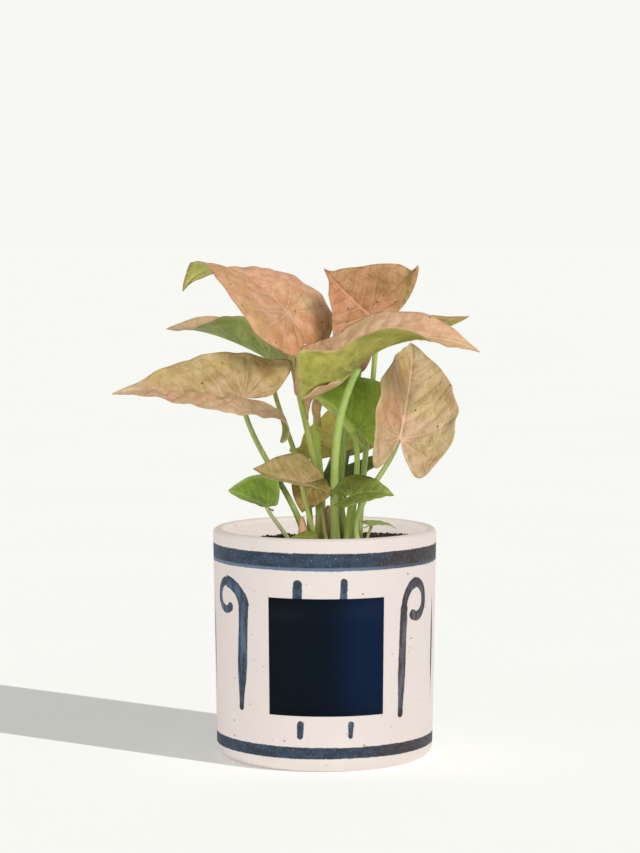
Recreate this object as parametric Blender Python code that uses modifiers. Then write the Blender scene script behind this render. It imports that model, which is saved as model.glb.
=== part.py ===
"""Potted syngonium: a glazed cylindrical planter filled with potting soil, from which a clump of
arrow-shaped leaves grows, every blade on its own petiole.

Lengths are in millimetres and angles in degrees; everything is scaled to metres as it is placed.
The origin is the centre of the pot's flat underside, +Z is up and -Y is the front of the plant.
"""
from math import cos, sin

import bmesh
import bpy
import numpy as np
from mathutils import Euler, Vector

MM = 0.001

# Pot: outside sizes, wall, floor and roundings.
POT_HEIGHT = 133.0
POT_RADIUS_TOP = 65.0
POT_RADIUS_FOOT = 63.0
POT_WALL = 6.5
POT_FLOOR = 8.0
FOOT_ROUND = 7.0
LIP_ROUND = 3.0
POT_FACETS = 64

# Soil: its level at the plant, its rise towards +X, and the lumps beyond the flat middle.
SOIL_LEVEL = 124.0
SOIL_SLOPE = 0.02
SOIL_LUMP = 0.7
FLAT_RADIUS = 27.0
SOIL_RINGS = (20.0, 27.0, 34.0, 41.0, 48.0, 53.0)
CLEARANCE = 0.3

# Plant: thickness of a blade, the gap between it and its petiole's end, how deep a petiole sits
# in the soil, and the points along a petiole.
BLADE = 0.6
SEAT = 0.5
ROOTED = 6.0
TUBE_POINTS = 9

# Cells of a blade from tip to sinus and from midrib to margin.
LARGE_BLADE = (16, 3)
SMALL_BLADE = (10, 2)
SMALL_LENGTH = 32.0


# ---- scene helpers ---------------------------------------------------------------------------

def clear_scene():
    for old in list(bpy.data.objects):
        bpy.data.objects.remove(old, do_unlink=True)


def new_collection(name):
    made = bpy.data.collections.new(name)
    bpy.context.scene.collection.children.link(made)
    return made


def new_material(name, colour, roughness):
    made = bpy.data.materials.new(name)
    made.use_nodes = True
    shader = made.node_tree.nodes["Principled BSDF"]
    shader.inputs["Base Color"].default_value = (*colour, 1.0)
    shader.inputs["Roughness"].default_value = roughness
    shader.inputs["Metallic"].default_value = 0.0
    return made


def add_object(name, data, material, home):
    made = bpy.data.objects.new(name, data)
    data.materials.append(material)
    home.objects.link(made)
    return made


# ---- pot and soil ----------------------------------------------------------------------------

def arc(centre, radius, start, end, steps):
    """Points of a circular arc in the profile plane, from one angle to another."""
    angles = np.radians(np.linspace(start, end, steps + 1))
    return [(centre[0] + radius * cos(a), centre[1] + radius * sin(a)) for a in angles]


def turned(name, profile, material, home):
    """A profile of (radius, height) points, turned about Z with a Screw modifier."""
    bm = bmesh.new()
    points = [bm.verts.new((radius * MM, 0.0, height * MM)) for radius, height in profile]
    for start, end in zip(points, points[1:]):
        bm.edges.new((start, end))
    mesh = bpy.data.meshes.new(name)
    bm.to_mesh(mesh)
    bm.free()
    made = add_object(name, mesh, material, home)
    screw = made.modifiers.new("turn", 'SCREW')
    screw.axis = 'Z'
    screw.steps = POT_FACETS
    screw.render_steps = POT_FACETS
    screw.use_merge_vertices = True
    screw.merge_threshold = 0.00001
    return made


def inner_radius(height):
    """Radius of the pot's inner wall at a height above the floor's rounding."""
    foot = POT_RADIUS_FOOT - POT_WALL
    top = POT_RADIUS_TOP - POT_WALL
    share = (height - POT_FLOOR - FOOT_ROUND) / (POT_HEIGHT - POT_FLOOR - FOOT_ROUND)
    return foot + (top - foot) * share


def make_pot(material, home):
    """Hollow planter: flat base, rounded foot, slightly flared wall and rounded lip."""
    inner_foot = POT_RADIUS_FOOT - POT_WALL
    inner_top = POT_RADIUS_TOP - POT_WALL
    lip = POT_HEIGHT - LIP_ROUND
    profile = [(0.0, POT_FLOOR)]
    profile += arc((inner_foot - FOOT_ROUND, POT_FLOOR + FOOT_ROUND), FOOT_ROUND, -90, 0, 3)
    profile += arc((inner_top + LIP_ROUND, lip), LIP_ROUND, 180, 90, 3)
    profile += arc((POT_RADIUS_TOP - LIP_ROUND, lip), LIP_ROUND, 90, 0, 3)
    profile += arc((POT_RADIUS_FOOT - FOOT_ROUND, FOOT_ROUND), FOOT_ROUND, 0, -90, 4)
    profile += [(0.0, 0.0)]
    return turned("pot", profile, material, home)


def soil_height(x, y):
    """Level of the soil: flat round the plant, sloping and lumpy towards the pot's wall."""
    outward = np.clip((np.hypot(x, y) - FLAT_RADIUS) / 15.0, 0.0, 1.0)
    lumps = np.sin(0.31 * x + 0.8) * np.cos(0.27 * y - 0.4)
    return SOIL_LEVEL + outward * (SOIL_SLOPE * x + SOIL_LUMP * lumps)


def make_soil(roots, material, home, cutters):
    """Plug of soil with one round socket for every root in (x, y, radius)."""
    edge = inner_radius(SOIL_LEVEL) - CLEARANCE
    foot = inner_radius(POT_FLOOR + FOOT_ROUND) - CLEARANCE
    base = POT_FLOOR + CLEARANCE
    profile = [(0.0, SOIL_LEVEL)]
    profile += [(ring, SOIL_LEVEL) for ring in SOIL_RINGS]
    profile += [(edge, SOIL_LEVEL)]
    profile += arc((foot - FOOT_ROUND, base + FOOT_ROUND), FOOT_ROUND, 0, -90, 3)
    profile += [(0.0, base)]
    soil = turned("soil", profile, material, home)
    bpy.context.view_layer.update()
    evaluated = soil.evaluated_get(bpy.context.evaluated_depsgraph_get())
    mesh = bpy.data.meshes.new_from_object(evaluated)
    bpy.data.objects.remove(soil, do_unlink=True)
    for vertex in mesh.vertices:
        x, y, z = vertex.co / MM
        if z > SOIL_LEVEL - 1.0:
            vertex.co.z = soil_height(x, y) * MM
    soil = bpy.data.objects.new("soil", mesh)
    home.objects.link(soil)

    bm = bmesh.new()
    depth = ROOTED + CLEARANCE
    for x, y, radius in roots:
        made = bmesh.ops.create_cone(
            bm, cap_ends=True, segments=12, depth=2 * depth * MM,
            radius1=(radius + CLEARANCE) * MM, radius2=(radius + CLEARANCE) * MM)
        place = Vector((x, y, SOIL_LEVEL)) * MM
        bmesh.ops.translate(bm, verts=made["verts"], vec=place)
    sockets = bpy.data.meshes.new("soil_sockets")
    bm.to_mesh(sockets)
    bm.free()
    cutter = bpy.data.objects.new("soil_sockets", sockets)
    cutters.objects.link(cutter)
    cutter.hide_render = True
    cutter.display_type = 'WIRE'
    cut = soil.modifiers.new("sockets", 'BOOLEAN')
    cut.operation = 'DIFFERENCE'
    cut.solver = 'EXACT'
    cut.object = cutter
    return soil


# ---- blades ----------------------------------------------------------------------------------

def through(points, share):
    """Catmull-Rom curve through control points, read at shares 0..1 of its length in points."""
    points = np.asarray(points, float)
    last = len(points) - 1
    ends = np.vstack([2 * points[0] - points[1], points, 2 * points[-1] - points[-2]])
    place = np.clip(share, 0.0, 1.0) * last
    step = np.minimum(place.astype(int), last - 1)
    t = (place - step)[:, None]
    a, b, c, d = ends[step], ends[step + 1], ends[step + 2], ends[step + 3]
    return 0.5 * (2 * b + (c - a) * t + (2 * a - 5 * b + 4 * c - d) * t ** 2
                  + (3 * b - a - 3 * c + d) * t ** 3)


def margin(leaf, side, share):
    """Half outline of a flat arrowhead, from the tip (share 0) round its lobe to the sinus (1).

    X runs along the midrib with the petiole at 0, Y is the distance from the midrib.
    """
    length = leaf["length"]
    width = leaf["width"][side]
    lobe = leaf["lobe"][side]
    spread = leaf["spread"][side]
    acumen, shoulder, sinus = leaf["acumen"], leaf["shoulder"], leaf["sinus"]
    return through([
        (length, 0.0),
        (0.84 * length, acumen * width),
        (0.58 * length, (acumen + 0.37) * width),
        (0.28 * length, 0.88 * width),
        (0.02 * length, width),
        (-0.50 * lobe, (0.50 + shoulder) * width + 0.50 * spread),
        (-lobe, spread),
        (-0.62 * lobe, sinus * spread),
        (-0.12 * lobe, 0.16 * sinus * spread)], share)


def flat_blade(leaf, along, across):
    """Flat blade: along is 0 at the tip and 1 at the sinus, across is -1..1 between margins."""
    left, right = margin(leaf, 0, along), margin(leaf, 1, along)
    edge = np.where((across >= 0)[:, None], left, right)
    rib = np.maximum(0.0, 1.0 - 2.0 * along) * leaf["length"]
    x = rib + (edge[:, 0] - rib) * np.abs(across)
    y = np.maximum(edge[:, 1], 0.0) * across
    return x, y


def bend_midrib(leaf, x, y):
    """Place and frame of the midrib under each point: droop, tip droop, sweep and lobe droop."""
    steps = np.linspace(0.0, 1.0, 61)
    middle = (steps[1:] + steps[:-1]) / 2
    droop, tip_droop, sweep = (radians_of(leaf[key]) for key in ("droop", "tip_droop", "sweep"))
    pitch = -(droop * middle + tip_droop * middle ** 4)
    yaw = sweep * middle
    run = np.stack([np.cos(pitch) * np.cos(yaw), np.cos(pitch) * np.sin(yaw), np.sin(pitch)], -1)
    rib = np.vstack([np.zeros(3), np.cumsum(run * leaf["length"] / 60, axis=0)])
    ahead = np.clip(x / leaf["length"], 0.0, 1.0)
    forward = np.stack([np.interp(ahead, steps, rib[:, k]) for k in range(3)], -1)

    lobe = leaf["lobe"][0]
    hang = np.where(y >= 0, *(radians_of(angle + 0.01) for angle in leaf["lobe_droop"]))
    back = np.clip(-x / lobe, 0.0, 1.3)
    radius = lobe / hang
    backward = np.stack([-radius * np.sin(hang * back), 0 * x,
                         -radius * (1 - np.cos(hang * back))], -1)
    place = np.where((x >= 0)[:, None], forward, backward)
    pitch = np.where(x >= 0, -(droop * ahead + tip_droop * ahead ** 4), hang * back)
    return place, pitch, sweep * ahead, radians_of(leaf["twist"]) * ahead ** 2


def radians_of(angle):
    return angle * np.pi / 180


def shape_blade(leaf, x, y):
    """Bend a flat blade: fold and curl each half, then carry it along the bent midrib."""
    place, pitch, yaw, twist = bend_midrib(leaf, x, y)
    along = np.stack([np.cos(pitch) * np.cos(yaw), np.cos(pitch) * np.sin(yaw), np.sin(pitch)], -1)
    side = np.stack([-np.sin(yaw), np.cos(yaw), 0 * yaw], -1)
    up = np.cross(along, side)
    turn, lift = np.cos(twist)[:, None], np.sin(twist)[:, None]
    side, up = side * turn + up * lift, up * turn - side * lift

    width = leaf["width"][0]
    fold = np.where(y >= 0, *(radians_of(angle) for angle in leaf["fold"]))
    curl = np.where(y >= 0, *(radians_of(angle + 0.01) for angle in leaf["curl"]))
    radius = width / curl
    end = fold + curl * np.abs(y) / width
    out = np.sign(y) * radius * (np.sin(end) - np.sin(fold))
    rise = radius * (np.cos(fold) - np.cos(end))
    return place + side * out[:, None] + up * rise[:, None]


def attitude(leaf):
    """Rotation of a leaf: heading about Z, rise of the midrib, and roll about the midrib."""
    turn = Euler(tuple(radians_of(v) for v in (leaf["roll"], -leaf["rise"], leaf["heading"])))
    return np.array(turn.to_matrix())


def make_blade(leaf, material, home):
    """Blade as a grid bent into its living shape, closed with a Solidify modifier."""
    columns, rows = SMALL_BLADE if leaf["length"] < SMALL_LENGTH else LARGE_BLADE
    bm = bmesh.new()
    bmesh.ops.create_grid(bm, x_segments=columns, y_segments=2 * rows, size=1.0)
    cell = np.array([vertex.co[:] for vertex in bm.verts])
    x, y = flat_blade(leaf, (1.0 - cell[:, 0]) / 2, cell[:, 1])
    points = shape_blade(leaf, x, y) @ attitude(leaf).T + np.array(leaf["at"])
    for vertex, point in zip(bm.verts, points):
        vertex.co = Vector(point) * MM
    bmesh.ops.remove_doubles(bm, verts=bm.verts, dist=0.02 * MM)
    name = "leaf_" + leaf["name"]
    mesh = bpy.data.meshes.new(name)
    bm.to_mesh(mesh)
    bm.free()
    mesh.shade_smooth()
    made = add_object(name, mesh, material, home)
    shell = made.modifiers.new("thickness", 'SOLIDIFY')
    shell.thickness = BLADE * MM
    shell.offset = 0.0
    return made


# ---- petioles and shoots ---------------------------------------------------------------------

def tube(name, path, radii, material, home):
    """Round tapering stem along a path, as a bevelled curve with filled caps."""
    curve = bpy.data.curves.new(name, 'CURVE')
    curve.dimensions = '3D'
    curve.bevel_depth = MM
    curve.bevel_resolution = 2
    curve.use_fill_caps = True
    spline = curve.splines.new('POLY')
    spline.points.add(len(path) - 1)
    for point, place, radius in zip(spline.points, path, radii):
        point.co = (*(Vector(place) * MM), 1.0)
        point.radius = radius
    return add_object(name, curve, material, home)


def petiole_path(leaf):
    """Straight up out of its socket in the soil, then one Bezier to just under the blade."""
    root = np.array([*leaf["root"], SOIL_LEVEL + 1.0])
    top = np.array(leaf["at"], float)
    lift = np.array([0.0, 0.0, 0.35 * (top[2] - root[2])])
    low = root + lift + np.array([*leaf["leave"], 0.0])
    high = top - lift + np.array([*leaf["arrive"], 0.0])
    normal = attitude(leaf)[:, 2]
    slant = np.linalg.norm(np.cross(top - high, normal)) / np.linalg.norm(top - high)
    top = top - normal * (BLADE / 2 + SEAT + leaf["stalk"][1] * slant)
    t = np.linspace(0.0, 1.0, TUBE_POINTS)[:, None]
    bow = (1 - t) ** 3 * root + 3 * (1 - t) ** 2 * t * low + 3 * (1 - t) * t ** 2 * high + t ** 3 * top
    return np.vstack([root - np.array([0.0, 0.0, ROOTED + 1.0]), bow])


def make_petiole(leaf, material, home):
    path = petiole_path(leaf)
    low, high = leaf["stalk"]
    radii = [low, *np.linspace(low, high, len(path) - 1)]
    return tube("petiole_" + leaf["name"], path, radii, material, home)


# ---- the plant -------------------------------------------------------------------------------
# at: where blade and petiole join. width, lobe, spread, fold, curl and lobe_droop are pairs for
# the left and the right half of the blade, looking along its midrib from the petiole. lobe is how
# far back a basal lobe reaches and spread its distance from the midrib line; acumen, shoulder and
# sinus shape the tip, the side above the lobe and the notch. stalk is the petiole's radius in the
# soil and under the blade; leave and arrive lean its two ends.

USUAL = dict(acumen=0.15, shoulder=0.1, sinus=0.42, tip_droop=0, sweep=0, twist=0)

LEAVES = [
    # Upper storey: six large leaves on long petioles.
    dict(name="top_left", at=(-22, -2, 258), length=92, width=(40, 36), lobe=(27, 29),
         spread=(18, 17), heading=161, rise=51, roll=-22, fold=(10, 5), curl=(-3, 0), droop=81,
         tip_droop=27, lobe_droop=(12, 41), sweep=-13, twist=25, shoulder=0.13, sinus=0.30,
         root=(-4, -8), stalk=(2.0, 1.6), leave=(5, 1), arrive=(2, 3)),
    dict(name="top_right", at=(26, 12, 256), length=44, width=(33, 34), lobe=(16, 16),
         spread=(30, 41), heading=193, rise=40, roll=-75, fold=(9, 24), curl=(-3, 23), droop=-34,
         tip_droop=-11, lobe_droop=(-3, -43), sweep=6, twist=18, acumen=0.10, root=(12, 6),
         stalk=(2.3, 1.9), leave=(-10, 2), arrive=(-6, 6)),
    dict(name="front_right", at=(18, -52, 229), length=77, width=(34, 41), lobe=(34, 34),
         spread=(25, 30), heading=-1, rise=45, roll=19, fold=(19, 17), curl=(0, 42), droop=83,
         tip_droop=-9, lobe_droop=(6, -8), sweep=-3, twist=54, acumen=0.12, shoulder=0.52,
         root=(6, -9), stalk=(2.5, 2.0), leave=(0, -9), arrive=(-16, 18)),
    dict(name="back_left", at=(-33, 50, 228), length=77, width=(34, 34), lobe=(21, 21),
         spread=(15, 15), heading=145, rise=25, roll=15, fold=(26, 24), curl=(8, -3), droop=20,
         tip_droop=14, lobe_droop=(9, 10), sweep=3, twist=-68, shoulder=0.15, root=(-9, 6),
         stalk=(1.7, 1.3), leave=(4, 9), arrive=(3, -15)),
    dict(name="back_right", at=(30, 46, 234), length=72, width=(25, 25), lobe=(20, 20),
         spread=(14, 14), heading=26, rise=14, roll=3, fold=(42, 38), curl=(5, 5), droop=3,
         tip_droop=-13, lobe_droop=(10, 10), sweep=14, twist=8, acumen=0.23, root=(20, 9),
         stalk=(1.8, 1.5), leave=(2, 0), arrive=(-3, -20)),
    dict(name="left", at=(-47, -30, 210), length=75, width=(32, 32), lobe=(25, 30),
         spread=(22, 27), heading=190, rise=7, roll=-28, fold=(18, 23), curl=(-7, 3), droop=5,
         tip_droop=-5, lobe_droop=(12, -4), sweep=10, acumen=0.18, shoulder=0.00, root=(-11, -6),
         stalk=(1.8, 1.4), leave=(-6, -6), arrive=(4, 8)),
    # Middle storey: round the upper petioles.
    dict(name="hanging_right", at=(43, -22, 187), length=76, width=(36, 37), lobe=(27, 26),
         spread=(16, 17), heading=70, rise=57, roll=55, fold=(19, 43), curl=(21, 46), droop=23,
         tip_droop=11, lobe_droop=(7, 0), sweep=-11, twist=-8, acumen=0.17, root=(19, -10),
         stalk=(1.8, 1.4), leave=(-7, -3), arrive=(-5, 11)),
    dict(name="centre", at=(18, -8, 189), length=39, width=(34, 17), lobe=(12, 12), spread=(6, 6),
         heading=178, rise=53, roll=48, fold=(52, 30), curl=(5, 5), droop=26, tip_droop=54,
         lobe_droop=(13, 11), twist=9, acumen=0.22, root=(15, -3), stalk=(1.8, 1.5),
         leave=(1, -1), arrive=(3, -5)),
    dict(name="back_centre", at=(5, 52, 170), length=60, width=(21, 24), lobe=(10, 10),
         spread=(23, 28), heading=86, rise=35, roll=-9, fold=(19, 19), curl=(11, 4), droop=1,
         lobe_droop=(-15, 1), sweep=-4, twist=-5, acumen=0.09, shoulder=0.23, root=(0, 20),
         stalk=(1.8, 1.5), leave=(-6, 8), arrive=(-7, -5)),
    dict(name="young_narrow", at=(-4, 20, 210), length=31, width=(15, 16), lobe=(17, 22),
         spread=(6, 6), heading=29, rise=40, roll=-4, fold=(6, 10), curl=(-2, 11), droop=4,
         tip_droop=-16, lobe_droop=(74, 75), twist=25, acumen=0.19, root=(-4, 1),
         stalk=(2.3, 1.8), leave=(7, 4), arrive=(-5, -5)),
    # Lower storey: small leaves on short petioles.
    dict(name="low_front", at=(-13, -34, 162), length=30, width=(20, 21), lobe=(13, 13),
         spread=(9, 9), heading=194, rise=14, roll=-25, fold=(15, 20), curl=(18, 8), droop=-5,
         tip_droop=-8, lobe_droop=(8, 2), twist=-17, acumen=0.22, shoulder=0.05, root=(-5, -15),
         stalk=(1.5, 1.2), leave=(-3, -4), arrive=(2, 7)),
    dict(name="low_right", at=(15, -36, 155), length=25, width=(17, 17), lobe=(10, 10),
         spread=(8, 8), heading=-6, rise=18, roll=12, fold=(26, 22), curl=(-1, -12), droop=34,
         tip_droop=3, lobe_droop=(2, -24), sweep=-3, twist=8, acumen=0.19, root=(12, -17),
         stalk=(1.6, 1.3), leave=(1, -4), arrive=(-1, 7)),
    dict(name="low_left", at=(-33, -20, 147), length=25, width=(24, 24), lobe=(5, 5),
         spread=(7, 7), heading=166, rise=27, roll=39, fold=(16, 21), curl=(4, 10), droop=10,
         lobe_droop=(14, 11), sweep=-7, twist=19, acumen=0.23, shoulder=0.13, root=(-20, -9),
         stalk=(1.3, 1.1), leave=(-4, -3), arrive=(3, 3)),
    dict(name="small_bronze", at=(-6, -12, 159), length=18, width=(16, 16), lobe=(6, 6),
         spread=(5, 5), heading=193, rise=-57, roll=-31, fold=(2, 11), curl=(0, 2), droop=12,
         tip_droop=19, lobe_droop=(9, 10), sweep=5, twist=-10, acumen=0.22, shoulder=0.08,
         root=(1, -14), stalk=(1.2, 1.0), leave=(-2, 0), arrive=(5, 3)),
    dict(name="low_back_right", at=(13, 36, 157), length=27, width=(14, 15), lobe=(8, 8),
         spread=(6, 6), heading=14, rise=32, roll=17, fold=(7, 16), curl=(-9, 8), droop=0,
         tip_droop=-19, lobe_droop=(10, 10), sweep=4, twist=23, acumen=0.20, root=(8, 12),
         stalk=(1.3, 1.0), leave=(1, 5), arrive=(-1, -8)),
    dict(name="low_back_dark", at=(5, 24, 156), length=28, width=(10, 10), lobe=(4, 4),
         spread=(4, 4), heading=62, rise=56, roll=-19, fold=(16, 9), curl=(6, 8), droop=18,
         tip_droop=20, lobe_droop=(10, 10), sweep=-2, twist=15, acumen=0.22, root=(4, 7),
         stalk=(1.2, 1.0), leave=(0, 4), arrive=(2, -4)),
    # At the soil: two seedling leaves.
    dict(name="soil_left", at=(-7, -31, 130), length=14, width=(6, 6), lobe=(3, 3), spread=(3, 3),
         heading=189, rise=10, roll=-26, fold=(10, 9), curl=(5, 3), droop=25, tip_droop=3,
         lobe_droop=(10, 10), twist=-2, root=(-10, -29), stalk=(1.0, 0.8), leave=(1, 0),
         arrive=(-1, 1)),
    dict(name="soil_right", at=(27, -8, 135), length=15, width=(5, 5), lobe=(5, 5), spread=(6, 6),
         heading=2, rise=10, roll=7, fold=(14, 8), curl=(6, 2), droop=29, tip_droop=20,
         lobe_droop=(6, 9), twist=2, root=(24, -5), stalk=(0.9, 0.8), leave=(1, -1),
         arrive=(-1, 1)),
]

# Short central stem and a young shoot still in its sheath: foot, top, radius at foot and top.
CROWN_STEM = dict(name="crown_stem", foot=(2, -4), top=(2, -4, 146), stalk=(3.0, 2.0))
YOUNG_SHOOT = dict(name="young_shoot", foot=(-12, -17), top=(-13, -18, 140), stalk=(2.2, 0.6))


def make_shoot(shoot, material, home):
    foot = np.array([*shoot["foot"], SOIL_LEVEL - ROOTED])
    soil = foot + np.array([0.0, 0.0, ROOTED + 1.0])
    top = np.array(shoot["top"], float)
    low, high = shoot["stalk"]
    path = [foot, soil, soil + (top - soil) * 0.45, soil + (top - soil) * 0.8, top]
    radii = [low, low, low * 0.92, (low + high) / 2, high]
    return tube(shoot["name"], path, radii, material, home)


def build():
    clear_scene()
    home = new_collection("potted_syngonium")
    cutters = new_collection("cutters")
    ceramic = new_material("glazed_stoneware", (0.83, 0.75, 0.68), 0.45)
    compost = new_material("potting_soil", (0.035, 0.022, 0.016), 0.95)
    pink = new_material("pink_blade", (0.62, 0.36, 0.24), 0.5)
    green = new_material("green_blade", (0.22, 0.30, 0.06), 0.5)
    stem = new_material("petiole_green", (0.30, 0.42, 0.12), 0.45)
    bud = new_material("shoot_pink", (0.62, 0.30, 0.18), 0.5)
    green_leaves = {"centre", "low_right", "low_left", "low_back_right", "low_back_dark",
                    "low_back_small", "soil_left", "soil_right", "back_centre"}

    make_pot(ceramic, home)
    roots = [(*shoot["foot"], shoot["stalk"][0]) for shoot in (CROWN_STEM, YOUNG_SHOOT)]
    for given in LEAVES:
        leaf = {**USUAL, **given}
        make_blade(leaf, green if leaf["name"] in green_leaves else pink, home)
        make_petiole(leaf, stem, home)
        roots.append((*leaf["root"], leaf["stalk"][0]))
    make_shoot(CROWN_STEM, stem, home)
    make_shoot(YOUNG_SHOOT, bud, home)
    make_soil(roots, compost, home, cutters)


build()
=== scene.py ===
"""Finish and stage of a potted syngonium: a cream ceramic planter with brushed blue ornament, dark
potting soil, and a clump of pink and green arrowhead leaves on slender stalks.

Lengths are in millimetres and angles in degrees; meshes are scaled to metres as they are made.
Only the table, the lamp and the camera are placed in metres. +Z is up and -Y is the front.
"""
import random

import bmesh
import bpy
import numpy as np
from mathutils import Euler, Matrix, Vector, noise


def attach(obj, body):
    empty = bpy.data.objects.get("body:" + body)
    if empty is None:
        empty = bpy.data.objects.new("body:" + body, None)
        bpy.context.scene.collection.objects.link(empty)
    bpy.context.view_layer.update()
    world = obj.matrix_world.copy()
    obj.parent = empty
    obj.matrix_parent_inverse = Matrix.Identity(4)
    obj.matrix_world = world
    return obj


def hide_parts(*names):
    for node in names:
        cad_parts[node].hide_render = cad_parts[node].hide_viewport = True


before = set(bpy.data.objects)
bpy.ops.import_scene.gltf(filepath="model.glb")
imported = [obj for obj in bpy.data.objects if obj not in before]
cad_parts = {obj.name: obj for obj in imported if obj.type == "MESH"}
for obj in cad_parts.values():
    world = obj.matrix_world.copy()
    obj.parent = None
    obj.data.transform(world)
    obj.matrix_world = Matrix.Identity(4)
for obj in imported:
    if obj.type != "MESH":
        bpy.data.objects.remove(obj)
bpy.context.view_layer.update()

# ==== Planter ====================================================================================
# A slip-cast stoneware cylinder with a rounded foot and lip, dipped in a matte cream glaze in
# which iron specks show. Bands, crooks and long strokes are brushed on in slate blue, and a plain
# dark blue film label is stuck on the front. It stands on its own flat foot.

MM = 0.001
DEGREES = 180 / np.pi

POT_HEIGHT = 133.0
POT_RADIUS_TOP = 65.0
POT_RADIUS_FOOT = 63.0
POT_WALL = 6.5
POT_FLOOR = 8.0
FOOT_ROUND = 7.0
LIP_ROUND = 3.0
POT_FACETS = 192

# Painted places are (millimetres round the wall from its front or its back, height). The edge of
# the paint is this soft, and a place this far from a stroke has none of it.
PAINT_RADIUS = 64.0
PAINT_EDGE = 0.28
UNPAINTED = 99.0
BANDS = ((115.3, 124.8), (8.4, 14.7))
# Crooks: foot and top of the stem, centre and half axes of the hook, the degrees it turns, and
# the half widths of stem and hook.
CROOKS = (((-53.8, 34.5), (-51.2, 93.0), (-67.2, 96.8), (8.2, 8.7), 305.0, (3.9, 2.3)),
          ((47.6, 31.5), (49.6, 91.8), (59.6, 95.2), (8.6, 10.4), 290.0, (2.8, 2.5)))
BACK_CROOKS = (((-52.0, 33.0), (-50.5, 92.5), (-65.0, 96.0), (8.2, 9.2), 300.0, (2.5, 2.0)),
               ((51.0, 32.0), (50.0, 92.0), (62.0, 95.5), (8.4, 9.8), 295.0, (2.5, 2.1)))
# Past this many degrees a hook draws in, and by its end it has lost this share of its radius.
DRAW_IN_FROM, DRAW_IN = 200.0, 0.2
# Short straight strokes above and below the label: their ends and half widths.
STROKES = (((-14.2, 21.2), (-13.9, 28.0), (1.8, 1.9)), ((14.9, 21.2), (15.1, 27.8), (1.6, 1.8)),
           ((-15.6, 97.0), (-15.2, 107.4), (2.9, 2.6)), ((10.5, 97.0), (10.9, 109.0), (2.1, 1.9)))
# Long tapering strokes between the crooks, and the heights where they swell and fade.
LONG_STROKES, BACK_LONG_STROKES = (-90.0, 82.4), (-84.0, 84.0)
LONG_SWELL, LONG_FADE = (25.0, 70.0), (72.0, 104.0)
# The film label: its middle in degrees round the wall, half its width in degrees, and its edges.
LABEL = dict(turn=0.9, half_width=30.3, low=32.7, high=99.4)


def colour(code):
    """Linear colour of a hexadecimal sRGB code."""
    shares = [int(code[k:k + 2], 16) / 255 for k in (0, 2, 4)]
    linear = [s / 12.92 if s < 0.04045 else ((s + 0.055) / 1.055) ** 2.4 for s in shares]
    return (*linear, 1.0)


def operator(operation):
    """A Math node's operation as an operator of Number, and as its reflected form."""
    return (lambda number, other: number.maths(operation, other),
            lambda number, other: number.maths(operation, first=other))


class Number:
    """A value that varies over a surface. Sums and products of it add Math nodes to its finish."""

    def __init__(self, finish, socket):
        self.finish = finish
        self.socket = socket

    def maths(self, operation, *others, first=None):
        values = (first, self) if first is not None else (self, *others)
        sockets = dict(enumerate(values))
        return self.finish.node('ShaderNodeMath', {"operation": operation}, sockets)

    __add__, __radd__ = operator('ADD')
    __sub__, __rsub__ = operator('SUBTRACT')
    __mul__, __rmul__ = operator('MULTIPLY')
    __truediv__, __rtruediv__ = operator('DIVIDE')
    __pow__, __rpow__ = operator('POWER')

    def __neg__(self):
        return self.maths('MULTIPLY', -1.0)

    def __abs__(self):
        return self.maths('ABSOLUTE')

    def least(self, other):
        return self.maths('MINIMUM', other)

    def most(self, other):
        return self.maths('MAXIMUM', other)

    def rise(self, low, high, start=0.0, end=1.0):
        """Smooth step from start, at and below low, to end, at and above high."""
        return self.finish.node(
            'ShaderNodeMapRange', {"interpolation_type": 'SMOOTHSTEP'},
            {"Value": self, "From Min": low, "From Max": high, "To Min": start, "To Max": end})

    def fall(self, low, high):
        """Smooth step down, from 1 at low to 0 at high."""
        return self.rise(low, high, 1.0, 0.0)


class Nodes:
    """The nodes of a finish or of the room, each made by the one method node."""

    def __init__(self, owner):
        owner.use_nodes = True
        self.tree = owner.node_tree

    def node(self, kind, settings, sockets, output=0):
        """A node of any kind, with its settings and its sockets' values or links."""
        made = self.tree.nodes.new(kind)
        for setting, value in settings.items():
            setattr(made, setting, value)
        for socket, value in sockets.items():
            self.plug(made.inputs[socket], value)
        return Number(self, made.outputs[output])

    def plug(self, socket, value):
        """Link a value that varies to a socket, or set the socket to a number or a colour code."""
        if isinstance(value, Number):
            self.tree.links.new(value.socket, socket)
        else:
            socket.default_value = colour(value) if isinstance(value, str) else value


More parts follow.
